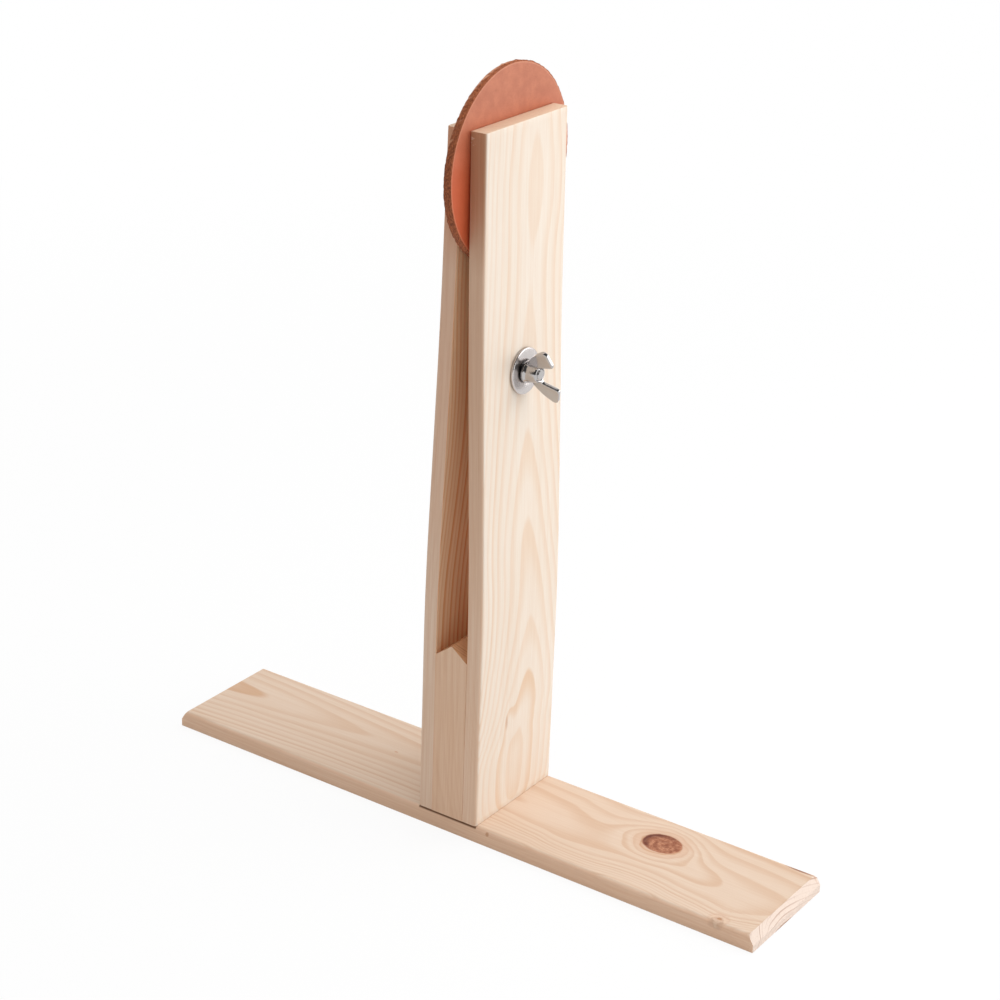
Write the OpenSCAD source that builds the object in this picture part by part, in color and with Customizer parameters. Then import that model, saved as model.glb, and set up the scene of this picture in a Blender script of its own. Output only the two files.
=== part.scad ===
// Leather stitching clamp. A glued post of two thin jaw boards and a spacer block
// stands on a flat base board that the stitcher sits on. A carriage bolt and a
// wing nut draw the free lengths of the jaws together until their tips grip the
// work. The clamp is drawn tightened on a round leather sample.
// Millimetres, +Z up, origin at the middle of the underside of the base board.

/* [Base board] */
// Length of the base board
base_len = 480; // [300:1:640]
// Width of the base board, from which the jaws and the block are cut too
base_w = 90; // [75:1:130]
// Thickness of the base board
base_t = 12; // [10:0.5:20]
// Radius of the rounded long top edges
base_edge_r = 3; // [1:0.5:4]
// How far the end bevel reaches in along the top
base_bevel_run = 4; // [1:0.5:8]
// How far the end bevel drops below the top
base_bevel_fall = 6.5; // [1:0.5:8]

/* [Jaw boards] */
// Length of each jaw board, from the base to its tip
jaw_len = 480; // [420:1:560]
// How far the jaws and the block stand in from the long edges of the base
jaw_inset = 0; // [0:0.5:3]
// Thickness of each jaw board
jaw_t = 11.5; // [9:0.5:16]
// Radius of the rounded outer long edges of the jaw boards
jaw_edge_r = 2.2; // [1:0.2:4]

/* [Spacer block] */
// Thickness of the block, which is the gap between the unbent jaws
block_t = 25; // [16:0.5:32]
// Height of the block at its eaves, where the jaws come free of it
block_eaves = 120; // [80:1:140]
// How far the ridge of the gabled top stands above the eaves
block_rise = 9.5; // [4:0.5:16]

/* [Bend of the jaws] */
// Board length over which each jaw curves in, above the block
bend_in_len = 90; // [60:1:100]
// Board length over which each jaw curves back, above the bolt
bend_back_len = 80; // [60:1:85]
// Share of the lean that is left at the tips
tip_lean_share = 0.5; // [0.2:0.05:0.8]

/* [Bolt] */
// Diameter of the carriage bolt
bolt_d = 8; // [6:0.5:10]
// Length of the bolt under its head
bolt_len = 50; // [46:1:60]
// Height of the bolt above the base board
bolt_h = 316; // [280:1:330]
// Diameter of the domed bolt head
head_d = 20; // [16:0.5:24]
// Height of the domed bolt head
head_h = 4.6; // [3:0.2:6]
// Length of the square neck under the head
neck_len = 5; // [3:0.5:6]
// Gap all round the bolt in the front jaw, room for it to tilt as the jaws open
bolt_play = 1.6; // [1.4:0.1:2.5]

/* [Washer] */
// Outside diameter of the fender washer
washer_d = 31; // [26:0.5:40]
// Thickness of the fender washer
washer_t = 2; // [1:0.2:3]
// Gap all round the bolt in the washer
washer_play = 0.4; // [0.3:0.1:1]

/* [Wing nut] */
// Diameter of the foot of the wing nut
nut_foot_d = 15.5; // [14:0.5:20]
// Height of the foot of the wing nut
nut_foot_h = 2.2; // [1:0.2:4]
// Width of the ledge that the foot leaves round the hub
nut_ledge = 1; // [0.5:0.25:2]
// Diameter of the hub at its outer end
nut_hub_d = 11; // [10.5:0.5:13]
// Height of the hub with its foot
nut_hub_h = 10.5; // [8:0.5:13]
// Distance between the tips of the two wings
wing_span = 42; // [34:0.5:52]
// Height of the wings above the foot
wing_h = 23; // [20:0.5:28]
// Height above the foot at which the wings are widest
wing_wide_h = 17.5; // [14:0.5:19]
// Distance of the top corner of each wing from the axis
wing_top_out = 11; // [10:0.5:13]
// Radius of the top corner of each wing
wing_corner_r = 2; // [1:0.25:2.5]
// Radius of the outer corner of each wing
wing_shoulder_r = 3.5; // [2:0.25:4]
// How far the edge of each wing from the foot to the outer corner bows out
wing_belly = 1.5; // [0:0.25:2]
// Thickness of the wings
wing_t = 2.8; // [1.6:0.2:4]
// Angle at which the wing nut has come to rest
wing_angle = 24; // [-90:1:90]

/* [Leather sample] */
// Diameter of the leather disc
disc_d = 130; // [100:1:150]
// Thickness of the leather
disc_t = 5.8; // [2:0.1:8]
// How far the middle of the disc lies below the jaw tips
disc_drop = 30; // [15:1:40]

/* [Base screws] */
// Number of wood screws up through the base into the block
screw_count = 3; // [2:1:3]
// Spacing of the screws across the board
screw_pitch = 28; // [20:1:32]
// Diameter of the screw shank
screw_d = 4.2; // [3:0.1:5]
// Diameter of the countersunk screw head
screw_head_d = 8.2; // [7:0.1:10]
// Length of the screws, head included
screw_len = 40; // [30:1:60]
// Diameter of the blunt end of the screw point
screw_tip_d = 0.4; // [0.2:0.1:1]

/* [Clearances] */
// Gap between a nut or shank and the hole that it fits
fit_play = 0.05; // [0.02:0.01:0.1]
// Gap between the leather and each jaw tip
grip_play = 0.3; // [0.2:0.05:0.6]
// Gap between faces that part when the nut is slackened
seat_play = 0.1; // [0.05:0.05:0.3]
// Gap round the screw shanks in the base board
shank_play = 0.3; // [0.1:0.05:0.5]
// How deep the screw heads sit in the underside
head_sink = 0.6; // [0.3:0.1:1.5]

/* [Hidden] */

$fn = 96;
pine = "burlywood";
pine_end = "wheat";
zinc = "silver";

// How far a cut runs past the face that it opens
cut = 1;

jaw_w = base_w - 2 * jaw_inset;
root_z = base_t + block_eaves;
bolt_z = base_t + bolt_h;
free_len = jaw_len - block_eaves;

// The lean of each jaw follows from how far its tip is drawn in
tip_gap = disc_t + 2 * grip_play;
draw_in = (block_t - tip_gap) / 2;
below_bolt = bolt_h - block_eaves - bend_in_len;
above_bend = free_len - bend_in_len - below_bolt - bend_back_len;
lean = draw_in / (bend_in_len / 2 + below_bolt + bend_back_len * (1 + tip_lean_share) / 2
       + above_bend * tip_lean_share) * 180 / PI;
lean_back = lean * (1 - tip_lean_share);

// Middle line of the front jaw in the XZ plane, as [x, z, lean] at each station.
// A curve of some length turns the lean by some angle, a straight run keeps it.
function curve_on(p, len, turn) =
    let (r = len / (turn * PI / 180), a = p[2] + turn)
    [p[0] - r * (cos(p[2]) - cos(a)), p[1] + r * (sin(a) - sin(p[2])), a];
function straight_on(p, len) = [p[0] - len * sin(p[2]), p[1] + len * cos(p[2]), p[2]];
function curve_stations(p, len, turn) =
    [for (i = [1 : curve_steps]) curve_on(p, len * i / curve_steps, turn * i / curve_steps)];

curve_steps = 8;
root_station = [(block_t + jaw_t) / 2, root_z, 0];
bent_station = curve_on(root_station, bend_in_len, lean);
run_to_bolt = (bolt_z - bent_station[1]) / cos(lean);
bolt_station = straight_on(bent_station, run_to_bolt);
back_station = curve_on(bolt_station, bend_back_len, -lean_back);
run_to_tip = free_len - bend_in_len - run_to_bolt - bend_back_len;
stations = concat([root_station], curve_stations(root_station, bend_in_len, lean), [bolt_station],
                  curve_stations(bolt_station, bend_back_len, -lean_back),
                  [straight_on(back_station, run_to_tip)]);
bolt_out = bolt_station[0] + jaw_t / 2 / cos(lean);

// Seats of the bolt head, the washer and the nut along the bolt
head_seat = bolt_out - head_d / 2 * tan(lean) - seat_play;
neck_w = bolt_d;
washer_seat = bolt_out + seat_play;
nut_seat = washer_seat + washer_t / cos(lean) + nut_foot_d / 2 * tan(lean) + seat_play;
bolt_tip_bevel = bolt_d / 8;

disc_z = base_t + jaw_len - disc_drop;

// How far the wings run into the hub and stand in from the rim of the foot
wing_bite = 1;

// Points of an arc, for an outline
function arc(mid, r, from, to, steps = 6) =
    [for (i = [0 : steps]) let (a = from + (to - from) * i / steps) mid + r * [cos(a), sin(a)]];

// Cross-section of a jaw board: thickness along X, width along Y. The outer corners are
// rounded over, and the inner ones are left square, flush with the block.
jaw_section = concat(
    arc([jaw_t / 2 - jaw_edge_r, jaw_w / 2 - jaw_edge_r], jaw_edge_r, 0, 90),
    [[-jaw_t / 2, jaw_w / 2], [-jaw_t / 2, -jaw_w / 2]],
    arc([jaw_t / 2 - jaw_edge_r, jaw_edge_r - jaw_w / 2], jaw_edge_r, 270, 360));

// Free length of the front jaw, swept along its stations
module sprung_board() {
    n = len(jaw_section);
    last = len(stations) - 1;
    points = [for (st = stations, c = jaw_section)
        [st[0] + c[0] * cos(st[2]), c[1], st[1] + c[0] * sin(st[2])]];
    sides = [for (i = [0 : last - 1], j = [0 : n - 1])
        let (k = (j + 1) % n, a = i * n, b = a + n) each [[a + j, b + j, b + k], [a + j, b + k, a + k]]];
    polyhedron(points, concat([[for (j = [0 : n - 1]) j]], sides,
                              [[for (j = [n - 1 : -1 : 0]) last * n + j]]));
}

// Foot of the front jaw, the part that is glued to the block
module board_foot() translate([root_station[0], 0, base_t]) linear_extrude(block_eaves) {
    translate([-jaw_edge_r / 2, 0]) square([jaw_t - jaw_edge_r, jaw_w], center = true);
    square([jaw_t, jaw_w - 2 * jaw_edge_r], center = true);
    for (s = [-1, 1])
        translate([jaw_t / 2 - jaw_edge_r, s * (jaw_w / 2 - jaw_edge_r)]) circle(jaw_edge_r);
}

// A round bar along the bolt's axis, from x0 to x1
module along_bolt(d, x0, x1)
    translate([x0, 0, bolt_z]) rotate([0, 90, 0]) cylinder(h = x1 - x0, d = d);

module base_board() color(pine) difference() {
    intersection() {
        rotate([90, 0, 90]) linear_extrude(base_len, center = true) {
            translate([-base_w / 2, 0]) square([base_w, base_t - base_edge_r]);
            translate([base_edge_r - base_w / 2, 0]) square([base_w - 2 * base_edge_r, base_t]);
            for (s = [-1, 1])
                translate([s * (base_w / 2 - base_edge_r), base_t - base_edge_r]) circle(base_edge_r);
        }
        rotate([90, 0, 0]) linear_extrude(base_w, center = true)
            polygon([for (s = [-1, 1]) each [
                [s * base_len / 2, 0], [s * base_len / 2, base_t - base_bevel_fall],
                [s * (base_len / 2 - base_bevel_run), base_t]
            ]], [[0, 3, 4, 5, 2, 1]]);
    }
    at_screws() {
        translate([0, 0, -cut]) cylinder(h = base_t + 2 * cut, d = screw_d + 2 * shank_play);
        screw_head(shank_play, head_sink + cut);
    }
}

// Gabled block: its eaves meet the jaws where they come free
module spacer_block() color(pine_end) difference() {
    translate([0, 0, base_t]) rotate([90, 0, 0]) linear_extrude(jaw_w, center = true)
        polygon([[-block_t / 2, 0], [block_t / 2, 0], [block_t / 2, block_eaves],
                 [0, block_eaves + block_rise], [-block_t / 2, block_eaves]]);
    at_screws() screw_shank(fit_play);
}

module front_jaw_foot() color(pine) board_foot();

module rear_jaw_foot() color(pine) mirror([1, 0, 0]) board_foot();

module front_jaw() color(pine) difference() {
    sprung_board();
    along_bolt(bolt_d + 2 * bolt_play, 0, block_t / 2 + jaw_t + cut);
}

// The bolt head is drawn square into the leaning face of the rear jaw
module rear_jaw() color(pine) difference() {
    mirror([1, 0, 0]) sprung_board();
    along_bolt(bolt_d + 2 * fit_play, -head_seat - cut, 0);
    along_bolt(head_d + 2 * fit_play, -head_seat - head_h - jaw_t, -head_seat);
    translate([-head_seat - cut, 0, bolt_z]) bolt_neck(neck_w + 2 * fit_play, neck_len + cut + fit_play);
}

module bolt_neck(w, len) translate([0, -w / 2, -w / 2]) cube([len, w, w]);

module carriage_bolt() color(zinc) {
    dome_r = (head_d * head_d / 4 + head_h * head_h) / (2 * head_h);
    intersection() {
        translate([dome_r - head_seat - head_h, 0, bolt_z]) sphere(dome_r);
        along_bolt(head_d, -head_seat - head_h, -head_seat);
    }
    translate([-head_seat, 0, bolt_z]) bolt_neck(neck_w, neck_len);
    along_bolt(bolt_d, -head_seat, bolt_len - bolt_tip_bevel - head_seat);
    translate([bolt_len - bolt_tip_bevel - head_seat, 0, bolt_z]) rotate([0, 90, 0])
        cylinder(h = bolt_tip_bevel, d1 = bolt_d, d2 = bolt_d - 2 * bolt_tip_bevel);
}

// The washer lies flat on the leaning face of the front jaw
module fender_washer() color(zinc) difference() {
    translate([washer_seat, 0, bolt_z]) rotate([0, 90 - lean, 0]) cylinder(h = washer_t, d = washer_d);
    along_bolt(bolt_d + 2 * washer_play, 0, nut_seat + nut_foot_h);
}

// Points between a and b on a curve that bows out to the right of the straight line
function bow(a, b, rise, steps = 6) =
    let (d = b - a, side = [d[1], -d[0]] / norm(d))
    [for (i = [1 : steps - 1]) let (t = i / steps) a + t * d + 4 * rise * t * (1 - t) * side];

// Outline of one wing: radius along X, height above the foot along Y
module wing_outline() {
    root = [nut_foot_d / 2 - wing_bite, nut_foot_h];
    shoulder = arc([wing_span / 2 - wing_shoulder_r, wing_wide_h], wing_shoulder_r, -40, 75);
    top = arc([wing_top_out, wing_h - wing_corner_r], wing_corner_r, 80, 150);
    polygon(concat(
        [[bolt_d / 2 + wing_bite, nut_foot_h], root], bow(root, shoulder[0], wing_belly), shoulder, top,
        [[nut_hub_d / 2 + wing_bite, nut_hub_h + wing_bite], [nut_hub_d / 2 - wing_bite, nut_hub_h],
         [bolt_d / 2 + wing_bite, nut_hub_h - wing_bite]]));
}

module wing_nut() color(zinc)
    translate([nut_seat, 0, bolt_z]) rotate([wing_angle, 0, 0]) rotate([0, 90, 0]) difference() {
        union() {
            cylinder(h = nut_foot_h, d = nut_foot_d);
            translate([0, 0, nut_foot_h])
                cylinder(h = nut_hub_h - nut_foot_h, d1 = nut_foot_d - 2 * nut_ledge, d2 = nut_hub_d);
            for (s = [0, 180])
                rotate([90, 0, s]) linear_extrude(wing_t, center = true) wing_outline();
        }
        translate([0, 0, -cut]) cylinder(h = nut_hub_h + 2 * cut, d = bolt_d + 2 * fit_play);
    }

module leather_disc() color("peru")
    translate([-disc_t / 2, 0, disc_z]) rotate([0, 90, 0]) cylinder(h = disc_t, d = disc_d, $fn = 180);

// Places of the screws, in a row along the middle of the block
module at_screws() for (i = [0 : screw_count - 1])
    translate([0, (i - (screw_count - 1) / 2) * screw_pitch, 0]) children();

// Countersunk head, with room round it and run out below the board
module screw_head(play, run_out = 0) {
    cone_h = (screw_head_d - screw_d) / 2;
    translate([0, 0, head_sink])
        cylinder(h = cone_h, d1 = screw_head_d + 2 * play, d2 = screw_d + 2 * play);
    if (run_out > 0) translate([0, 0, head_sink - run_out])
        cylinder(h = run_out, d = screw_head_d + 2 * play);
}

module screw_shank(play) {
    point = 1.5 * screw_d;
    neck = (screw_head_d - screw_d) / 4;
    translate([0, 0, head_sink + neck]) cylinder(h = screw_len - point - neck, d = screw_d + 2 * play);
    translate([0, 0, head_sink + screw_len - point])
        cylinder(h = point + play, d1 = screw_d + 2 * play, d2 = screw_tip_d + 2 * play);
}

module base_screws() color(zinc) at_screws() {
    screw_head(0);
    screw_shank(0);
}

base_board();
spacer_block();
front_jaw_foot();
rear_jaw_foot();
front_jaw();
rear_jaw();
carriage_bolt();
fender_washer();
wing_nut();
leather_disc();
base_screws();
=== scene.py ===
import math

import bmesh
import bpy
from mathutils import Matrix, Vector


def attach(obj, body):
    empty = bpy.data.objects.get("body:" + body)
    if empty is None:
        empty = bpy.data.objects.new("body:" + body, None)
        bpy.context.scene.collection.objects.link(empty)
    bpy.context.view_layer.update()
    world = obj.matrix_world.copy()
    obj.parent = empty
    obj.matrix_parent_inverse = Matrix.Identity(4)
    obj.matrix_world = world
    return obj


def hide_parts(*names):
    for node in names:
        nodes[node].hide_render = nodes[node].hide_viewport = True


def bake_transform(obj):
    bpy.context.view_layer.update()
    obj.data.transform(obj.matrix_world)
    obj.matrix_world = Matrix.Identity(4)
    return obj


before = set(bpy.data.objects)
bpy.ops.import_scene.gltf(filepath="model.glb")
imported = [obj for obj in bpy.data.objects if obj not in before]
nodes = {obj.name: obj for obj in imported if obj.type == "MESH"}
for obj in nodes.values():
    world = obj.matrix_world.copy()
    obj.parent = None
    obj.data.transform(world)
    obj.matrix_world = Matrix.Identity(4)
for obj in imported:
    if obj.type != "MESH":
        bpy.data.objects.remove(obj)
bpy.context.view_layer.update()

# Camera, in front of the wing nut's side and well above the jaw tips, aimed at the middle of
# the post, with the small tilt that the photograph has.
MM = 0.001
camera_azimuth = 34.03
camera_elevation = 23.67
camera_tilt = 2.09
camera_distance = 1627.35 * MM
camera_target = Vector((3.83, 0, 233.12)) * MM
focal_share = 2.46755

camera = bpy.data.objects.new("camera", bpy.data.cameras.new("camera"))
bpy.context.scene.collection.objects.link(camera)
bpy.context.scene.camera = camera
camera.data.sensor_width = 36
camera.data.lens = focal_share * camera.data.sensor_width
turn = Matrix.Rotation(math.radians(camera_azimuth), 4, "Z")
lift = Matrix.Rotation(math.radians(90 - camera_elevation), 4, "X")
tilt = Matrix.Rotation(math.radians(camera_tilt), 4, "Z")
back = (turn @ lift) @ Vector((0, 0, 1))
camera.matrix_world = Matrix.Translation(camera_target + back * camera_distance) @ turn @ lift @ tilt
camera.data.clip_start = 0.01
camera.data.clip_end = 60


# Base board: one flat plain-sawn pine board with a sound brown knot on the wing nut's side.
# Its long top edges are rounded over and its ends are bevelled, which shows the growth
# rings in the end grain. The post is glued and screwed to it.
base_len = 480
base_t = 12
post_half = 24
figure_len = 480


class Field:
    """A value that changes over a surface, so that a sum of nodes reads as a formula."""

    def __init__(self, tree, socket):
        self.tree = tree
        self.socket = socket

    def math(self, kind, *others):
        made = self.tree.nodes.new("ShaderNodeMath")
        made.operation = kind
        for slot, value in zip(made.inputs, (self, *others)):
            feed(self.tree, slot, value)
        return Field(self.tree, made.outputs[0])

    def __add__(self, other):
        return self.math("ADD", other)

    def __sub__(self, other):
        return self.math("SUBTRACT", other)

    def __mul__(self, other):
        return self.math("MULTIPLY", other)

    def __truediv__(self, other):
        return self.math("DIVIDE", other)

    def rise(self, low, high, start=0.0, end=1.0):
        """Goes smoothly from start to end as the value passes from low to high."""
        return part(self.tree, "MapRange", {"Value": self, "From Min": low, "From Max": high,
                                            "To Min": start, "To Max": end},
                    interpolation_type="SMOOTHSTEP")


def feed(tree, slot, value):
    """Links a field or socket to an input, or sets the input to a plain value."""
    if isinstance(value, Field):
        value = value.socket
    if isinstance(value, bpy.types.NodeSocket):
        tree.links.new(value, slot)
    else:
        slot.default_value = value


def part(tree, kind, feeds=None, out=0, **settings):
    """Adds a shader node with its settings and inputs, and gives one output as a field."""
    made = tree.nodes.new("ShaderNode" + kind)
    for name, value in settings.items():
        setattr(made, name, value)
    for name, value in (feeds or {}).items():
        feed(tree, made.inputs[name], value)
    return Field(tree, made.outputs[out])


def axes(tree, point):
    """The three parts of a point, each as a field."""
    made = part(tree, "SeparateXYZ", {"Vector": point})
    return [Field(tree, made.socket.node.outputs[i]) for i in range(3)]


def joined(tree, x, y, z):
    """A point, or the red, green and blue of a tint, from three fields."""
    return part(tree, "CombineXYZ", {"X": x, "Y": y, "Z": z})


def stretched(tree, point, size):
    """A point divided by a size along each axis, which stretches the pattern made from it."""
    return part(tree, "VectorMath", {0: point, 1: [1 / s for s in size]}, operation="MULTIPLY")


def object_point(tree):
    """Place in the object, in millimetres."""
    return stretched(tree, part(tree, "TexCoord", out="Object"), (MM, MM, MM))


def speckle(tree, point, size, detail=2.0, roughness=0.5):
    """Noise from -1 to 1, with the size of its patches along each axis."""
    made = part(tree, "TexNoise", {"Vector": stretched(tree, point, size), "Scale": 1.0,
                                   "Detail": detail, "Roughness": roughness})
    return made * 2.0 - 1.0


def blended(tree, share, first, second, kind="MIX"):
    """Two colours mixed by a share."""
    made = tree.nodes.new("ShaderNodeMix")
    made.data_type = "RGBA"
    made.blend_type = kind
    feed(tree, made.inputs[0], share)
    feed(tree, made.inputs[6], first)
    feed(tree, made.inputs[7], second)
    return Field(tree, made.outputs[2])


def curved(tree, value, low, high, points):
    """A smooth curve through given points over a length, as a field."""
    heights = [h for _, h in points]
    floor, span = min(heights), max(heights) - min(heights)
    along = part(tree, "MapRange", {"Value": value, "From Min": low, "From Max": high})
    made = tree.nodes.new("ShaderNodeFloatCurve")
    line = made.mapping.curves[0].points
    while len(line) < len(points):
        line.new(0.5, 0.5)
    for spot, (at, height) in zip(line, points):
        spot.location = ((at - low) / (high - low), (height - floor) / span)
    made.mapping.update()
    feed(tree, made.inputs["Value"], along)
    return Field(tree, made.outputs[0]) * span + floor


def group(name, ins, outs):
    """An empty node group with named inputs and outputs."""
    tree = bpy.data.node_groups.new(name, "ShaderNodeTree")
    kinds = {"f": "NodeSocketFloat", "v": "NodeSocketVector", "c": "NodeSocketColor"}
    for side, names in (("INPUT", ins), ("OUTPUT", outs)):
        for label, kind in names.items():
            tree.interface.new_socket(name=label, in_out=side, socket_type=kinds[kind])
    entry = tree.nodes.new("NodeGroupInput")
    leave = tree.nodes.new("NodeGroupOutput")
    return tree, {n: Field(tree, entry.outputs[n]) for n in ins}, leave


def place(tree, used, feeds):
    """Places a node group in a material and gives its outputs by name."""
    made = tree.nodes.new("ShaderNodeGroup")
    made.node_tree = used
    for name, value in feeds.items():
        feed(tree, made.inputs[name], value)
    return {o.name: Field(tree, o) for o in made.outputs}


def new_material(name):
    """A material with only its output, and the output's surface input."""
    made = bpy.data.materials.new(name)
    made.use_nodes = True
    tree = made.node_tree
    tree.nodes.clear()
    leave = tree.nodes.new("ShaderNodeOutputMaterial")
    return made, tree, leave.inputs["Surface"]


def shaded(tree, surface, feeds):
    """Gives a material its surface from the inputs that differ from the plain shader."""
    made = part(tree, "BsdfPrincipled", feeds)
    tree.links.new(made.socket, surface)


def linear(red, green, blue):
    """A colour as it shows on a screen, 0 to 255, in the values that a shader takes."""
    return tuple(((c / 255 + 0.055) / 1.055) ** 2.4 for c in (red, green, blue)) + (1.0,)


# Growth rings of a sawn board. The point is in millimetres in the board: across its
# thickness, across its width and along its length.
pine_rings, given, leave = group(
    "pine_rings",
    {"Point": "v", "Heart Depth": "f", "Heart Side": "f", "Ring Width": "f", "Drift": "f",
     "Wander": "f", "Lopsided": "f"},
    {"Late": "f", "Fibre": "f", "Streak": "f", "Cloud": "f"})
tree = pine_rings
point = given["Point"]
deep, side, along = axes(tree, point)
deep = deep + given["Heart Depth"]
side = side - given["Heart Side"]
near_side = side.rise(-36, -12, 0.35, -0.3)
far_side = side.rise(-3, 12, 0.0, -0.1)
side = side * (given["Lopsided"] * (near_side + far_side) + 1.0)
away = (side * side * -0.005).math("EXPONENT") * -1.0 + 1.0
wander = speckle(tree, point, (34, 34, 150), 3.0) * given["Wander"] * (away * 0.85 + 0.15)
ripple = speckle(tree, point, (7, 7, 42), 2.0) * given["Wander"] * 0.16
radius = (deep * deep + side * side).math("SQRT") + wander + ripple
count = radius / given["Ring Width"] + given["Drift"]
uneven = part(tree, "TexNoise", {"W": count * 0.41, "Scale": 1.0, "Detail": 1.0}, noise_dimensions="1D")
count = count + uneven * away * 0.8
year = count.math("FLOOR")
season = count - year
strength = part(tree, "TexWhiteNoise", {"W": year}, noise_dimensions="1D").rise(0, 1, 0.45, 1.0)
late = season.rise(0.28, 0.84) * season.rise(0.88, 1.0, 1.0, 0.0) * strength * (away * -0.3 + 1.0)
fibre = speckle(tree, point, (0.32, 0.32, 14), 2.0, 0.6)
streak = speckle(tree, point, (1.6, 1.6, 90), 2.0, 0.55)
cloud = speckle(tree, point, (30, 30, 120), 2.0)
for label, value in (("Late", late), ("Fibre", fibre), ("Streak", streak), ("Cloud", cloud)):
    feed(tree, leave.inputs[label], value)

# Colour of planed pine: pale early wood, tan late wood, deeper on the edges of a board, partly
# as painted shade, painted shade on a jaw's inner face, and rosier lines in the end grain.
pine_colour, given, leave = group(
    "pine_colour",
    {"Late": "f", "Fibre": "f", "Streak": "f", "Cloud": "f", "Early Wood": "c", "Late Wood": "c",
     "Edge Shade Tone": "c", "End Tone": "c", "End Late": "f", "Edge": "f", "End": "f", "Shaded": "f"},
    {"Colour": "c", "Height": "f"})
tree = pine_colour
lines = given["Late"] * (given["Edge"] * -0.7 + 1.0)
face = blended(tree, lines, given["Early Wood"], given["Late Wood"])
shift = given["Streak"] * (given["Edge"] * 0.05 + 0.04)
shift = shift + given["Fibre"] * 0.035 + given["Cloud"] * 0.025 + 1.0
face = blended(tree, 1.0, face, joined(tree, shift, shift * shift, shift * shift * shift), "MULTIPLY")
# The sawn edges are tinted deeper and warmer: partly their own edge grain, partly painted shade.
edge = blended(tree, given["Edge"], face, blended(tree, 1.0, face, given["Edge Shade Tone"], "MULTIPLY"))
# Painted shade on a jaw's inner face, which looks into the shaded gap between the jaws: a deeper,
# warmer tone.
shade_tone = blended(tree, given["Late"], linear(255, 231, 205), linear(248, 194, 154))
edge = blended(tree, given["Shaded"], edge, blended(tree, 1.0, edge, shade_tone, "MULTIPLY"))
end_base = blended(tree, 0.6, given["Early Wood"], linear(250, 240, 232))
end_wood = blended(tree, given["End Late"].rise(0.3, 0.85), end_base, linear(176, 132, 102))
pores = given["Fibre"].rise(0.1, 0.8) * 0.16 + given["Streak"].rise(0.0, 0.7) * 0.3
end_wood = blended(tree, pores, end_wood, linear(196, 160, 136))
end_wood = blended(tree, 1.0, end_wood, given["End Tone"], "MULTIPLY")
feed(tree, leave.inputs["Colour"], blended(tree, given["End"], edge, end_wood))
feed(tree, leave.inputs["Height"], given["Late"] * 0.5 + given["Fibre"] * 0.35 + given["Streak"] * 0.2)


def facing(tree, axis):
    """How squarely a surface faces along an axis, from 0 to 1."""
    normal = part(tree, "NewGeometry", out="Normal")
    return axes(tree, normal)[axis].math("ABSOLUTE")


def pine(name, millimetres, depth, ring_width, centre_line, drift_line, wander, early, late,
         edge_shade_tone, end_tone, end_axis=2, end_lines=1.0, extra=None, calm_line=None,
         inner_face=None, lopsided=0.0):
    """Planed pine. The figure of each board follows the place of the tree's heart along it.
    The sawn edges are tinted deeper, partly as painted shade. On a jaw the edges get painted
    shade up the board and most near the tip, where the disc shades them, and its inner face gets
    painted shade too."""
    made, tree, surface = new_material(name)
    point = millimetres(tree)
    deep, side, along = axes(tree, point)
    centre = curved(tree, along, 0, figure_len, centre_line)
    drift = curved(tree, along, 0, figure_len, drift_line)
    spots = extra(tree, side, along) if extra else None
    if spots:
        drift = drift - spots["pull"]
    rings = place(tree, pine_rings, {
        "Point": point, "Heart Depth": depth, "Heart Side": centre, "Ring Width": ring_width,
        "Drift": drift, "Wander": wander, "Lopsided": along.rise(200, 320, 0.0, lopsided)})
    late_share = rings["Late"]
    if calm_line:
        late_share = late_share * curved(tree, along, 0, figure_len, calm_line)
    # Painted shade: the sawn edges darken up the board, and most near the tips, where the leather disc
    # shades them.
    tip_shade = along.rise(96, 336, 0.0, 0.3).math("MAXIMUM", along.rise(355, 446))
    # Painted shade on a jaw's inner face, found from its depth in the board.
    inner_shade = deep.rise(inner_face + 0.1, inner_face + 0.5, 1.0, 0.0) if inner_face else 0.0
    look = place(tree, pine_colour, {
        **{n: rings[n] for n in ("Fibre", "Streak", "Cloud")}, "Late": late_share,
        "Early Wood": early, "Late Wood": late, "Shaded": inner_shade,
        "Edge Shade Tone": blended(tree, tip_shade, edge_shade_tone[0], edge_shade_tone[1]),
        "End Tone": end_tone, "End Late": rings["Late"] * end_lines,
        "Edge": facing(tree, 1).rise(0.25, 0.9), "End": facing(tree, end_axis).rise(0.35, 0.75)})
    colour, height = look["Colour"], look["Height"]
    if spots:
        colour = blended(tree, spots["share"], colour, spots["colour"])
        height = height - spots["share"] * 1.5
    bump = part(tree, "Bump", {"Strength": 0.35, "Distance": 0.00012, "Height": height})
    shaded(tree, surface, {
        "Base Color": colour, "Normal": bump, "Specular IOR Level": 0.32,
        "Roughness": rings["Late"] * -0.1 + rings["Fibre"] * 0.04 + 0.62})
    return made


def base_point(tree):
    """Place in the base board, with the bark side up and the length from its left end."""
    x, y, z = axes(tree, object_point(tree))
    return joined(tree, z - base_t / 2, y, x + base_len / 2)


def oval(tree, side, along, middle, size):
    """Distance from the middle of an oval mark in units of its size: 1 at the rim."""
    across = (side - middle[1]) / size[1]
    down = (along - middle[0]) / size[0]
    return (across * across + down * down).math("SQRT")


knot_at = (375.5, 15)
knot_size = (14.8, 12.0)
swirl_at = (379, 13)
skew_at = (413, -2)
pin_at = (452, -40.5)
dot_at = (160, 3.7)
edge_dot_at = (273.5, -45)
streak_at = (466, 42.5)


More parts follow.
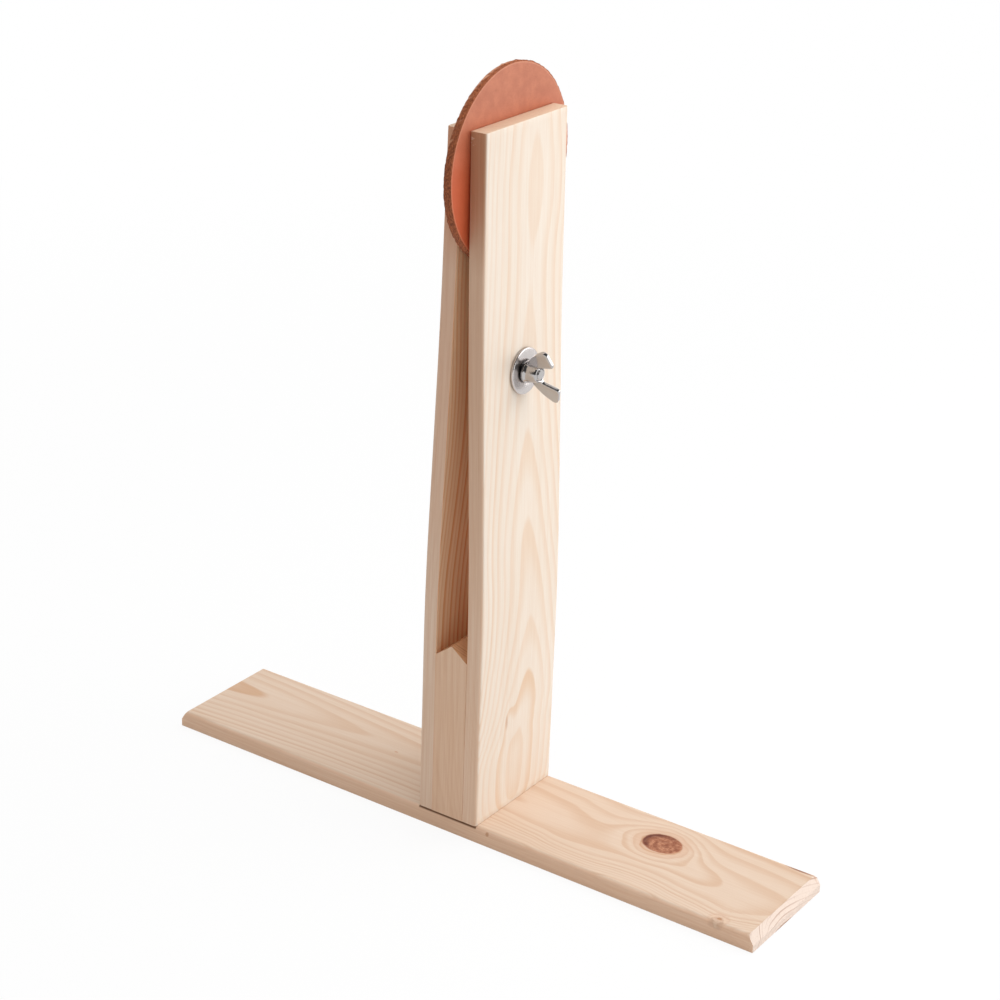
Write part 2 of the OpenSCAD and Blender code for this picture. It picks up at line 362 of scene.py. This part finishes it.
def knot_wood(tree, at, side, along, rim, ragged):
    """Colour of the knot's heart: flecked, faintly ringed, and edged by bark on one side."""
    dark_side = along * -0.05 + side * 0.03 + speckle(tree, at, (7, 7, 7), 2.0) * 0.5 + 18.6
    bark = rim.rise(0.55, 0.85) * dark_side.rise(0.1, 0.9)
    flecks = speckle(tree, at, (3.2, 3.2, 3.2), 4.0, 0.7).rise(-0.35, 0.5)
    swirl = oval(tree, side, along, swirl_at, knot_size) * 16.0 + ragged * 30.0
    swirl = swirl.math("SINE").rise(-0.4, 1.0)
    heart = blended(tree, flecks, linear(150, 88, 62), linear(210, 152, 118))
    heart = blended(tree, swirl * 0.35, heart, linear(128, 70, 52))
    heart = blended(tree, bark * 0.9, heart, linear(98, 48, 38))
    return blended(tree, rim.rise(0.86, 0.98) * 0.6, heart, linear(176, 104, 72))


def base_marks(tree, side, along):
    """A sound knot, round which the rings flow, a pin knot, small dots, a pitch streak on the
    far edge, a painted shadow beneath the post's front edge and a dark line along its joint. Their pull
    bends the rings."""
    at = base_point(tree)
    deep = axes(tree, at)[0]
    ragged = speckle(tree, at, (6, 6, 6), 2.0) * 0.06
    reach = oval(tree, side, along, knot_at, knot_size)
    rim = reach + ragged
    knot = rim.rise(0.9, 1.06, 1.0, 0.0)
    halo = reach.rise(1.0, 1.75, 0.36, 0.0) * reach.rise(0.95, 1.02)
    heart = knot_wood(tree, at, side, along, rim, ragged)
    colour = blended(tree, knot, linear(210, 154, 116), heart)

    pin = oval(tree, side, along, pin_at, (5.0, 4.4)) + deep.rise(-2.0, 2.5, 1.0, 0.0)
    pin = pin + speckle(tree, at, (2.6, 2.6, 2.6), 3.0, 0.7) * 0.5
    pin_lines = (pin * 5.0 + side * 0.8).math("SINE").rise(0.35, 0.95) * pin.rise(0.9, 1.7, 0.5, 0.0)
    pin_lines = pin_lines.math("MAXIMUM", pin.rise(0.15, 0.75, 0.95, 0.0))
    pale = pin.rise(0.9, 1.7, 0.7, 0.0)
    pin_wood = blended(tree, pin_lines, linear(238, 216, 194), linear(172, 124, 90))
    colour = blended(tree, pale, colour, pin_wood)

    dot = oval(tree, side, along, dot_at, (1.6, 0.8)).rise(0.5, 1.3, 0.7, 0.0)
    edge_dot = oval(tree, side, along, edge_dot_at, (1.4, 0.8)) + deep.rise(1.0, 3.0, 1.5, 0.0)
    edge_dot = edge_dot.rise(0.5, 1.3, 0.8, 0.0)
    streak = oval(tree, side, along, streak_at, (13, 1.6)).rise(0.4, 1.2, 0.85, 0.0)
    streak = streak * deep.rise(-0.5, 1.5)
    colour = blended(tree, streak, colour, linear(130, 76, 54))

    # Painted shadow on the rounded front edge beneath the post, and a dark line along the joint round
    # the post's foot on the top.
    from_post = (along - base_len / 2).math("ABSOLUTE") - post_half
    post_shadow = from_post.rise(-0.4, 0.2, 1.0, 0.0) * side.rise(-44.6, -42.0, 0.95, 0.0)
    post_shadow = post_shadow * deep.rise(3.6, 4.8)
    joint = from_post.math("ABSOLUTE").rise(0.1, 0.6, 0.4, 0.0) * deep.rise(5.6, 5.9)
    gap = post_shadow.math("MAXIMUM", joint)
    colour = blended(tree, gap, colour, linear(104, 66, 42))

    share = knot
    for mark in (halo, pin_lines, dot, edge_dot, streak, gap, pale):
        share = share.math("MAXIMUM", mark)
    swell = (reach * reach * -0.42).math("EXPONENT") * 5.6
    swell = swell * (speckle(tree, at, (14, 14, 22), 2.0) * 0.3 + 1.0)
    skew = oval(tree, side, along, skew_at, (16, 11))
    skew = (skew * skew * -0.7).math("EXPONENT") * 0.9
    nudge = (pin * pin * -0.09).math("EXPONENT") * 1.5
    return {"pull": swell + skew + nudge, "share": share, "colour": colour}


base_wood = pine(
    "pine_base_board", base_point, 57, 2.9,
    [(0, 9), (60, 11), (130, 11), (240, 6), (300, -1), (340, -6), (380, -3), (430, -8), (480, -5)],
    [(0, -2.1), (36, -1.78), (130, -0.78), (200, -0.2), (265, 0.2), (337, 0.9), (400, 1.6),
     (430, 1.5), (480, 2.0)],
    1.1, linear(231, 206, 184), linear(214, 174, 141), [(1.12, 0.98, 0.88, 1.0)] * 2,
    (0.94, 0.90, 0.88, 1.0), end_axis=0, extra=base_marks, lopsided=1.0)
base = nodes["base_board"]
base.data.materials.clear()
base.data.materials.append(base_wood)


# Spacer block: a pine offcut as thick as the gap between the unbent jaws, glued between
# their feet. Its top is sawn to a gable, and the jaws part from it at the eaves.
def block_point(tree):
    """Place in the block, with its length from the top of the base board."""
    x, y, z = axes(tree, object_point(tree))
    return joined(tree, x, y, z - base_t)


# The block's end grain is tinted deep brown: partly its own end-grain tone, partly painted shade of the
# gap between the jaws where its gable sits.
block_wood = pine(
    "pine_spacer_block", block_point, 30, 2.3,
    [(0, 16), (240, 20), (480, 14)], [(0, 0), (240, 1.4), (480, 0.2)],
    0.8, linear(240, 217, 196), linear(222, 182, 150), [(1.0, 0.84, 0.72, 1.0)] * 2,
    (0.84, 0.55, 0.33, 1.0))
block = nodes["spacer_block"]
block.data.materials.clear()
block.data.materials.append(block_wood)


# Jaw boards: two thin pine boards, each glued by its foot to the spacer block. Above it
# they are free and spring open, and the bolt draws them in, so that each bends in above
# the block and back again towards its tip. The outer long edges are rounded over.
jaw_t = 11.5
jaw_w = 90
jaw_len = 480
jaw_edge_r = 2.2
inner_ease = 0.35
foot_ease = 0.15
tip_ease = 0.5
block_t = 25
root_z = 132
bolt_z = 328
bend_in = 90
bend_back = 80
tip_gap = 6.4
tip_share = 0.5
ring_step = 4

free = jaw_len - (root_z - base_t)
below_bolt = bolt_z - root_z - bend_in
above_bend = free - bend_in - below_bolt - bend_back
lean = (block_t - tip_gap) / 2 / (bend_in / 2 + below_bolt + bend_back * (1 + tip_share) / 2
                                  + above_bend * tip_share)
straight_run = (bolt_z - root_z - bend_in * math.sin(lean) / lean) / math.cos(lean)


def lean_at(t):
    """Lean of the drawn-in jaw at a length along the board, in radians."""
    t -= root_z - base_t
    if t <= 0:
        return 0.0
    if t < bend_in:
        return lean * t / bend_in
    t -= bend_in + straight_run
    if t <= 0:
        return lean
    return lean * (1 - (1 - tip_share) * min(1.0, t / bend_back))


def middle_line():
    """Middle line of the front jaw as (length along the board, x, z, lean) every millimetre."""
    x, z = block_t / 2 + jaw_t / 2, float(base_t)
    line = [(0.0, x, z, 0.0)]
    for i in range(jaw_len):
        a = lean_at(i + 0.5)
        x -= math.sin(a)
        z += math.cos(a)
        line.append((i + 1.0, x, z, lean_at(i + 1.0)))
    return line


line = middle_line()


def corner(middle_x, middle_y, r, start, steps):
    """Points of a quarter circle from an angle in degrees."""
    return [(middle_x + r * math.cos(math.radians(start + 90 * i / steps)),
             middle_y + r * math.sin(math.radians(start + 90 * i / steps))) for i in range(steps + 1)]


def jaw_section(inset):
    """Cross-section of a jaw board as (across the thickness, across the width)."""
    half_t, half_w, r, e = jaw_t / 2 - inset, jaw_w / 2 - inset, jaw_edge_r, inner_ease
    return (corner(half_t - r, half_w - r, r, 0, 8) + corner(e - half_t, half_w - e, e, 90, 3)
            + corner(e - half_t, e - half_w, e, 180, 3) + corner(half_t - r, r - half_w, r, 270, 8))


def cut_away(target, cutter):
    """Cuts one closed mesh out of another and removes the cutter."""
    step = target.modifiers.new("cut", "BOOLEAN")
    step.operation = "DIFFERENCE"
    step.solver = "EXACT"
    step.object = cutter
    bake(target)
    bpy.data.objects.remove(cutter)


def bake(target):
    """Turns an object's modifiers into its mesh."""
    graph = bpy.context.evaluated_depsgraph_get()
    graph.update()
    made = bpy.data.meshes.new_from_object(target.evaluated_get(graph))
    target.modifiers.clear()
    target.data = made


def solid(name, points, faces, material=None, sharp=35):
    """A smooth-shaded object from points in millimetres, with its steeper edges kept sharp."""
    mesh = bpy.data.meshes.new(name)
    mesh.from_pydata([Vector(p) * MM for p in points], [], faces)
    made = bpy.data.objects.new(name, mesh)
    bpy.context.scene.collection.objects.link(made)
    finish_mesh(made, material, sharp)
    return made


def finish_mesh(target, material, sharp):
    """Points the faces outwards, sets smooth shading and the material."""
    work = bmesh.new()
    work.from_mesh(target.data)
    bmesh.ops.recalc_face_normals(work, faces=work.faces)
    work.to_mesh(target.data)
    work.free()
    target.data.polygons.foreach_set("use_smooth", [True] * len(target.data.polygons))
    target.data.set_sharp_from_angle(angle=math.radians(sharp))
    target.data.materials.clear()
    if material:
        target.data.materials.append(material)


def tube(rings):
    """Faces of a closed solid from rings of points of equal count, capped at both ends."""
    count = len(rings[0])
    faces = [list(range(count))[::-1], [len(rings) * count - count + i for i in range(count)]]
    for a in range(len(rings) - 1):
        for i in range(count):
            j = (i + 1) % count
            faces.append([a * count + i, a * count + j, (a + 1) * count + j, (a + 1) * count + i])
    return [p for ring in rings for p in ring], faces


def lathe(profile, steps, place_point):
    """A turned solid. The profile is (along the axis, radius), and its ends are closed by caps."""
    rings = []
    for reach, r in profile:
        turns = [2 * math.pi * i / steps for i in range(steps)]
        rings.append([place_point(reach, r * math.cos(a), r * math.sin(a)) for a in turns])
    return tube(rings)


def on_bolt(reach, across, up):
    """A point given along and round the bolt's axis."""
    return (reach, across, up + bolt_z)


def jaw_board(name, side):
    """One whole jaw board, foot and free length, on the +X side for 1 and the -X side for -1."""
    rings = []
    insets = {0: foot_ease, 0.3: 0.0}
    insets.update((t, 0.0) for t in range(ring_step, jaw_len, ring_step))
    insets.update({jaw_len - tip_ease: 0.0, jaw_len - 0.15: 0.15, jaw_len: tip_ease})
    for t, inset in insets.items():
        low = line[int(t)]
        high = line[min(int(t) + 1, jaw_len)]
        share = t - int(t)
        x, z, a = (low[i] + (high[i] - low[i]) * share for i in (1, 2, 3))
        rings.append([(side * (x + s * math.cos(a)), w, z + s * math.sin(a))
                      for s, w in jaw_section(inset)])
    return solid(name, *tube(rings))


def board_point(tree):
    """Place in a jaw board along its own bent length, which keeps the grain in the wood."""
    return part(tree, "Attribute", out="Vector", attribute_name="board_at")


def mark_board(target, side):
    """Stores each point's place in the straight board, in millimetres."""
    marks = target.data.attributes.new("board_at", "FLOAT_VECTOR", "POINT")
    values = []
    for v in target.data.vertices:
        x, y, z = v.co / MM
        t = min(max(z - base_t, 0.0), float(jaw_len))
        offset = 0.0
        for _ in range(4):
            i = min(int(t), jaw_len - 1)
            share = t - i
            cx, cz, a = (line[i][k] + (line[i + 1][k] - line[i][k]) * share for k in (1, 2, 3))
            offset = (side * x - cx) * math.cos(a) + (z - cz) * math.sin(a)
            t += (z - cz) * math.cos(a) - (side * x - cx) * math.sin(a)
            t = min(max(t, 0.0), float(jaw_len))
        values += [offset, y, t]
    marks.data.foreach_set("vector", values)


head_seat = 17.983
head_d = 20
neck_len = 5
bolt_d = 8
fit_play = 0.05
bolt_play = 1.6
past_board = 40
corners = [(-1, -1), (1, -1), (1, 1), (-1, 1)]


def drilled(name, start, end, r, steps=64):
    """The round plug of wood that a drill takes out along the bolt's axis."""
    return solid(name, *lathe([(start, r), (end, r)], steps, on_bolt))


front_board = jaw_board("front_jaw_board", 1)
cut_away(front_board, drilled("hole", -2, past_board, bolt_d / 2 + bolt_play))
mark_board(front_board, 1)

rear_board = jaw_board("rear_jaw_board", -1)
cut_away(rear_board, drilled("bore", -past_board, 2, bolt_d / 2 + fit_play))
cut_away(rear_board, drilled("seat", -past_board, -head_seat, head_d / 2 + fit_play, 96))
half_neck = bolt_d / 2 + fit_play
neck_ends = [[on_bolt(x, a * half_neck, b * half_neck) for a, b in corners]
             for x in (-head_seat - 1, -head_seat + neck_len)]
cut_away(rear_board, solid("neck_hole", *tube(neck_ends)))
mark_board(rear_board, -1)


low_pin_at = (66, -12)
pinch_at = (66, -10)
torn_at = (474, -45)


def front_marks(tree, side, along):
    """A pin knot low on the board that pinches the rings, and pale torn grain at the tip."""
    at = board_point(tree)
    pin = oval(tree, side, along, low_pin_at, (5.0, 1.3))
    tear = oval(tree, side, along, torn_at, (3.4, 3.0)) + axes(tree, at)[0].rise(-2, 1)
    torn = tear.rise(0.7, 1.0, 0.6, 0.0) * speckle(tree, at, (3.0, 3.0, 0.9), 1.0).rise(0.1, 0.4)
    share = pin.rise(0.3, 1.6, 0.45, 0.0).math("MAXIMUM", torn)
    colour = blended(tree, torn.rise(0.05, 0.2), linear(196, 140, 104), linear(244, 222, 200))
    pull = oval(tree, side, along, pinch_at, (13, 5))
    pull = (pull * pull * -1.0).math("EXPONENT") * 1.1
    return {"pull": pull, "share": share, "colour": colour}


jaw_end_tone = (0.80, 0.65, 0.52, 1.0)
front_wood = pine(
    "pine_front_jaw", board_point, 66, 3.0,
    [(0, -2), (31, -1), (62, 6), (97, 12), (137, 12), (210, 6), (272, 5), (330, 6), (385, 7.5),
     (434, 10), (480, 10)],
    [(0, -4.8), (31, -5.45), (55, -4.98), (97, -3.98), (137, -2.98), (210, -1.98), (272, -0.98),
     (330, -0.3), (385, 0.06), (434, -0.27), (470, 0.02), (480, 0.15)],
    0.7, linear(241, 226, 210), linear(233, 202, 172),
    # Edge tones, partly painted shade: the second, deep one shows near the tip, as the painted shade of
    # the leather disc.
    [(1.0, 0.80, 0.67, 1.0), (0.62, 0.37, 0.25, 1.0)], jaw_end_tone, end_lines=0.75,
    extra=front_marks, calm_line=[(0, 1.0), (200, 1.0), (320, 0.85), (480, 0.72)],
    inner_face=-jaw_t / 2)
rear_wood = pine(
    "pine_rear_jaw", board_point, 48, 3.1,
    [(0, 14), (120, 10), (260, 16), (400, 8), (480, 12)],
    [(0, -3.0), (90, -1.6), (180, -1.2), (300, 0.4), (400, 1.2), (480, 0.4)],
    1.2, linear(240, 224, 207), linear(222, 184, 152),
    # Edge tones, partly painted shade: the second, deep one shows near the tip, as the painted shade of
    # the leather disc.
    [(1.0, 0.84, 0.74, 1.0), (0.84, 0.50, 0.36, 1.0)], jaw_end_tone, end_lines=0.75,
    inner_face=-jaw_t / 2)

for board, material, body, side in ((front_board, front_wood, "front_jaw", 1),
                                    (rear_board, rear_wood, "rear_jaw", -1)):
    finish_mesh(board, material, 35)
    side * 0.018
    side * 0.018
    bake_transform(board)
    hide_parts(body, body + "_foot")


# Carriage bolt: M8, zinc-plated steel, with a low domed head, a square neck that bites
# into the rear jaw and a rolled thread over the last 22 mm of its shank.
bolt_end = 32.017
head_h = 4.6
neck_corner_r = 5.2
pitch = 1.25
thread_depth = 0.68
thread_start = 10.0
run_out = 2.0
end_bevel = 1.0
dome_steps = 12
bolt_steps = 64


# Wear of a zinc plate: fine scratches and duller patches, which shift its colour and its
# gloss. The point is in millimetres in the object.
zinc_wear, given, leave = group(
    "zinc_wear",
    {"Point": "v", "Plate": "c", "Satin": "f", "Dull Patches": "f"},
    {"Colour": "c", "Roughness": "f", "Scratches": "f"})
tree = zinc_wear
lines = speckle(tree, given["Point"], (1.4, 0.22, 0.22), 3.0, 0.6)
patches = speckle(tree, given["Point"], (5, 5, 5), 2.0)
tone = patches * 0.05 + lines * 0.03 + 1.0
tint = blended(tree, 1.0, given["Plate"], joined(tree, tone, tone, tone), "MULTIPLY")
feed(tree, leave.inputs["Colour"], tint)
feed(tree, leave.inputs["Roughness"], lines * 0.05 + patches * given["Dull Patches"] + given["Satin"])
feed(tree, leave.inputs["Scratches"], lines)


def plated(name, plate, satin, scratch, dull):
    """Zinc-plated steel, from bright to satin."""
    made, tree, surface = new_material(name)
    worn = place(tree, zinc_wear, {
        "Point": object_point(tree), "Plate": plate, "Satin": satin, "Dull Patches": dull})
    bump = part(tree, "Bump", {"Strength": scratch, "Distance": 0.00002, "Height": worn["Scratches"]})
    shaded(tree, surface, {
        "Base Color": worn["Colour"], "Metallic": 1.0, "Normal": bump, "Roughness": worn["Roughness"]})
    return made


bright_zinc = plated("bright_zinc_plate", linear(188, 185, 184), 0.1, 0.2, 0.04)
satin_zinc = plated("satin_zinc_plate", linear(204, 198, 196), 0.24, 0.4, 0.06)

bolt_turns = [2 * math.pi * i / bolt_steps for i in range(bolt_steps)]


def bolt_ring(reach, radii):
    """A ring round the bolt's axis, from its radius at each step of the turn."""
    return [on_bolt(reach, r * math.cos(a), r * math.sin(a)) for a, r in zip(bolt_turns, radii)]


def head_rings():
    """The domed head, from its top to the eased edge of its underside."""
    dome_r = (head_d ** 2 / 4 + head_h ** 2) / (2 * head_h)
    profile = []
    for i in range(dome_steps + 1):
        a = max(math.asin(head_d / 2 / dome_r) * i / dome_steps, 0.01)
        profile.append((-head_seat - head_h + dome_r * (1 - math.cos(a)), dome_r * math.sin(a)))
    profile += [(-head_seat - 0.25, head_d / 2), (-head_seat, head_d / 2 - 0.25)]
    return [bolt_ring(reach, [r] * bolt_steps) for reach, r in profile]


def neck_ring(reach, half, corner_r):
    """A ring round the square neck, with its corners rounded."""
    flats = [half / max(abs(math.cos(a)), abs(math.sin(a))) for a in bolt_turns]
    return bolt_ring(reach, [min(flat, corner_r) for flat in flats])


def thread_radius(x, a):
    """Radius of the rolled thread, which runs out at its start and is bevelled at its end."""
    phase = (x / pitch - a / (2 * math.pi)) % 1.0
    groove = thread_depth * min(1.0, max(0.0, 1.25 - 2.5 * abs(phase - 0.5)))
    groove *= min(1.0, (x - thread_start) / run_out)
    return bolt_d / 2 - max(groove, x - (bolt_end - end_bevel), 0.0)


bolt_rings = head_rings()
bolt_rings.append(neck_ring(-head_seat, bolt_d / 2, neck_corner_r))
bolt_rings.append(neck_ring(-head_seat + neck_len - 0.6, bolt_d / 2, neck_corner_r))
bolt_rings.append(neck_ring(-head_seat + neck_len, bolt_d / 2 - 0.02, bolt_d / 2))
x = thread_start
while x <= bolt_end + 1e-6:
    bolt_rings.append(bolt_ring(x, [thread_radius(x, a) for a in bolt_turns]))
    x += pitch / 10
bolt = solid("carriage_bolt_threaded", *tube(bolt_rings), bright_zinc, 40)
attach(bolt, "rear_jaw")
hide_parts("carriage_bolt")


# Fender washer: a wide punched steel washer with a satin zinc plate. One face has the
# rounded rim that the punch leaves. It spreads the pull of the nut over the soft pine.
washer_d = 31
washer_t = 2
washer_play = 0.4
washer_seat = 18.551
washer_ease = 0.2
punched_rim = [(0, 0.7), (0.1, 0.28), (0.35, 0.06), (0.7, 0)]


def on_washer(reach, across, up):
    """A point given along and round the washer's axis, which leans with the jaw."""
    c, s = math.cos(lean), math.sin(lean)
    return (washer_seat + reach * c - up * s, across, bolt_z + reach * s + up * c)


outer, inner = washer_d / 2, bolt_d / 2 + washer_play
washer_profile = [(0.15, outer - 0.02), (0, outer - washer_ease)]
washer_profile += [(0, inner + washer_ease), (washer_ease, inner)]
washer_profile += [(washer_t - washer_ease, inner), (washer_t, inner + washer_ease)]
washer_profile += [(washer_t - down, outer - inward) for down, inward in punched_rim]


def hoop(profile, steps, place_point):
    """A turned ring whose profile closes on itself."""
    count = len(profile)
    points = []
    for i in range(steps):
        a = 2 * math.pi * i / steps
        points += [place_point(reach, r * math.cos(a), r * math.sin(a)) for reach, r in profile]
    faces = []
    for i in range(steps):
        j = (i + 1) % steps
        for k in range(count):
            m = (k + 1) % count
            faces.append([i * count + k, i * count + m, j * count + m, j * count + k])
    return points, faces


washer = solid("fender_washer_punched", *hoop(washer_profile, 96, on_washer), satin_zinc, 50)
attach(washer, "washer")
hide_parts("fender_washer")


# Wing nut: cold-forged steel with a bright zinc plate. The forging leaves soft edges and a
# fillet where each wing grows out of the hub.
forging_cell = 0.22
smoothing_passes = 75

wing_nut = bpy.data.objects.new("wing_nut_forged", nodes["wing_nut"].data.copy())
bpy.context.scene.collection.objects.link(wing_nut)
remesh = wing_nut.modifiers.new("even", "REMESH")
remesh.mode = "VOXEL"
remesh.voxel_size = forging_cell * MM
remesh.use_smooth_shade = True
soften = wing_nut.modifiers.new("soften", "SMOOTH")
soften.factor = 0.5
soften.iterations = smoothing_passes
bake(wing_nut)
finish_mesh(wing_nut, bright_zinc, 80)
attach(wing_nut, "wing_nut")
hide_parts("wing_nut")


# Leather sample: a round piece of thick saddle-tan leather, cut by hand with a knife, so its
# rim is ragged and dark. One side is the smooth grain, the other the rough flesh side.
disc_r = 65
disc_t = 5.8
disc_z = 462
rim_steps = 900
rim_margin = 0.75
rim_zone = 1.5
ragged_depth = 1.35
slant_depth = 1.25
swell_height = 0.08
face_insets = (60.0, 40.0, 20.0, 8.0, 3.0, 1.6)


def ragged(a, seed):
    """A rough rim, as a sum of waves with no common period."""
    waves = ((7, 0.10), (19, 0.08), (43, 0.10), (67, 0.09), (97, 0.09), (151, 0.05), (223, 0.03))
    return sum(size * math.sin(rate * a + seed * (rate % 5 + 1.3)) for rate, size in waves)


rim_rows = [(-1.0, 0.55), (-0.92, 0.28), (-0.7, 0.1), (-0.35, 0.0), (0.0, 0.05), (0.35, 0.0),
            (0.66, 0.12), (0.86, 0.22), (1.0, 0.5)]
disc_rows = [(-1.0, inward) for inward in face_insets] + rim_rows
disc_rows += [(1.0, inward) for inward in reversed(face_insets)]
disc_rings = []
for number, (share, inward) in enumerate(disc_rows):
    rough = max(0.0, 1 - inward / rim_zone)
    ring = []
    for i in range(rim_steps):
        a = 2 * math.pi * i / rim_steps
        slant = slant_depth * max(0.0, math.sin(a)) * (1 - share) / 2 * min(1.0, rough * 2)
        r = disc_r - rim_margin - inward - slant
        r = min(r + ragged_depth * rough * ragged(a, 1.0 + 0.25 * number), disc_r - 0.02)
        swell = swell_height * math.sin(3 * a + 1) * min(1.0, inward / 20)
        ring.append((share * (disc_t / 2 - 0.1 + swell), r * math.cos(a), disc_z + r * math.sin(a)))
    disc_rings.append(ring)

leather, tree, surface = new_material("saddle_leather_tan")
at = object_point(tree)
thick, across, up = axes(tree, at)
up = up - disc_z
reach = (across * across + up * up).math("SQRT")
pebble = part(tree, "TexVoronoi", {"Vector": at, "Scale": 1.15, "Randomness": 1.0},
              feature="DISTANCE_TO_EDGE")
crease = pebble.rise(0.0, 0.22)
mottle = speckle(tree, at, (9, 9, 9), 3.0)
fine = speckle(tree, at, (0.5, 0.5, 0.5), 3.0, 0.6)
strands = speckle(tree, at, (0.7, 1.5, 1.5), 4.0, 0.75)
grain_side = blended(tree, mottle.rise(-0.6, 0.6), linear(190, 112, 82), linear(208, 130, 98))
grain_side = blended(tree, crease.rise(0, 1, 0.2, 0.0), grain_side, linear(150, 82, 58))
grain_side = blended(tree, fine.rise(0.0, 0.7) * 0.3, grain_side, linear(170, 96, 70))
# Painted shade: the grain side turns deep orange towards the bottom, standing in for the shade between
# the jaws and the warm light that the pine throws on it.
grain_side = blended(tree, up.rise(-10, 45, 0.8, 0.0), grain_side, linear(206, 88, 44))
flesh_side = blended(tree, strands.rise(-0.5, 0.6), linear(188, 122, 88), linear(216, 158, 122))
faces = blended(tree, thick.rise(-0.2, 0.2), flesh_side, grain_side)
rim_share = reach.rise(disc_r - 1.9, disc_r - 1.2)
pressed = reach.rise(disc_r - 2.8, disc_r - 2.1) * reach.rise(disc_r - 1.9, disc_r - 1.5, 1.0, 0.0)
faces = blended(tree, pressed * 0.3, faces, linear(232, 170, 138))
rim = blended(tree, strands.rise(-0.5, 0.6), linear(98, 46, 27), linear(208, 122, 78))
colour = blended(tree, rim_share, faces, rim)
height = crease * 0.4 + fine * 0.35 + strands * rim_share * 3.0
bump = part(tree, "Bump", {"Strength": 0.3, "Distance": 0.00015, "Height": height})
shaded(tree, surface, {
    "Base Color": colour, "Normal": bump, "Specular IOR Level": 0.35,
    "Roughness": rim_share * 0.3 + mottle * 0.05 + 0.52})

disc = solid("leather_disc_cut", *tube(disc_rings), leather, 60)
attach(disc, "work")
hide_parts("leather_disc")


# Base screws: three countersunk wood screws with a cross recess, driven up through the
# base board into the spacer block. Only their heads show, sunk into the underside.
screw_pitch = 28
screw_d = 4.2
screw_head_d = 8.2
screw_len = 40
point_len = 1.5 * screw_d
head_sink = 0.6
recess_w = 1.1
recess_r = 2.3
recess_deep = 2.2
recess_tip = 0.5


def base_screw(shift):
    """One screw at its place in the row, with the cross recess cut into its head."""
    def on_screw(reach, across, up):
        return (across, up + shift, reach + head_sink)
    cone = (screw_head_d - screw_d) / 2
    profile = [(0.0, screw_head_d / 2 - 0.2), (0.2, screw_head_d / 2 - 0.1), (cone, screw_d / 2)]
    profile += [(screw_len - point_len, screw_d / 2), (screw_len, 0.2)]
    made = solid("screw", *lathe(profile, 48, on_screw))
    for half_a, half_b in ((recess_w / 2, recess_r), (recess_r, recess_w / 2)):
        mouth = [on_screw(-1.0, a * half_a, b * half_b) for a, b in corners]
        tip = [on_screw(recess_deep, a * min(half_a, recess_tip), b * min(half_b, recess_tip))
               for a, b in corners]
        cut_away(made, solid("recess", *tube([mouth, tip])))
    return made


screw_objects = [base_screw(number * screw_pitch) for number in (-1, 0, 1)]
work = bmesh.new()
for screw in screw_objects:
    work.from_mesh(screw.data)
screws = bpy.data.objects.new("base_screws_driven", bpy.data.meshes.new("base_screws_driven"))
bpy.context.scene.collection.objects.link(screws)
work.to_mesh(screws.data)
work.free()
for screw in screw_objects:
    bpy.data.objects.remove(screw)
finish_mesh(screws, satin_zinc, 30)
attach(screws, "stand")
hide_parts("base_screws")


# Floor and light: a white floor that keeps a soft shadow, a broad soft lamp on the wing
# nut's side, a second one overhead and a pale room. Bright metal also mirrors a dark patch
# high in front of the clamp, which gives the nut its dark lines.
floor_size = 8.0
mesh = bpy.data.meshes.new("floor")
mesh.from_pydata([(x * floor_size, y * floor_size, -0.0002) for x, y in corners], [], [(0, 1, 2, 3)])
floor = bpy.data.objects.new("floor", mesh)
bpy.context.scene.collection.objects.link(floor)
pure_white = (1.0, 1.0, 1.0, 1.0)
pale_grey = (0.82, 0.82, 0.82, 1.0)


def seen_directly(tree):
    """Whether the camera, a mirroring surface or glass sees this point, and the mirror alone."""
    path = tree.nodes.new("ShaderNodeLightPath")
    camera_ray, glossy, through = (
        Field(tree, path.outputs[n]) for n in ("Is Camera Ray", "Is Glossy Ray", "Is Transmission Ray"))
    return camera_ray.math("MAXIMUM", glossy).math("MAXIMUM", through), glossy


white, tree, surface = new_material("floor_white")
seen, _ = seen_directly(tree)
paper = blended(tree, seen, pale_grey, pure_white)
matte = part(tree, "BsdfDiffuse", {"Color": paper})
glow = part(tree, "Emission", {"Color": pure_white, "Strength": 1.0})
east, north, _ = axes(tree, part(tree, "TexCoord", out="Object"))
far = (east * east + north * north).math("SQRT").rise(0.5, 1.6)
mixed = part(tree, "MixShader", {0: seen * (far * 0.1 + 0.9), 1: matte, 2: glow})
tree.links.new(mixed.socket, surface)
mesh.materials.append(white)

room = bpy.data.worlds.new("room")
bpy.context.scene.world = room
room.use_nodes = True
tree = room.node_tree
tree.nodes.clear()
leave = tree.nodes.new("ShaderNodeOutputWorld")
seen, mirrored = seen_directly(tree)
dim = part(tree, "Background", {"Color": pure_white, "Strength": 0.42})
east, north, high = axes(tree, part(tree, "TexCoord", out="Generated"))
dark_patch = (east * 0.57 - north * 0.82 + high * 0.45).rise(0.12, 0.36) * high.rise(0.0, 0.12)
full = part(tree, "Background", {"Color": pure_white, "Strength": dark_patch * mirrored * -0.92 + 1.0})
mixed = part(tree, "MixShader", {0: seen, 1: dim, 2: full})
tree.links.new(mixed.socket, leave.inputs["Surface"])


def lamp(name, at, towards, width, height, power, mirrored=True):
    """A soft rectangular lamp."""
    light = bpy.data.lights.new(name, "AREA")
    light.shape = "RECTANGLE"
    light.size = width
    light.size_y = height
    light.energy = power
    made = bpy.data.objects.new(name, light)
    bpy.context.scene.collection.objects.link(made)
    made.visible_glossy = mirrored
    made.location = at
    made.rotation_euler = (Vector(at) - Vector(towards)).to_track_quat("Z", "Y").to_euler()


lamp("side_lamp", (1.6, 1.2, 0.65), (0, 0, 0.28), 2.0, 1.1, 18.5)
lamp("top_lamp", (0.45, 0.5, 2.3), (0, 0, 0), 2.4, 2.4, 37, False)

view = bpy.context.scene.view_settings
view.view_transform = "Standard"
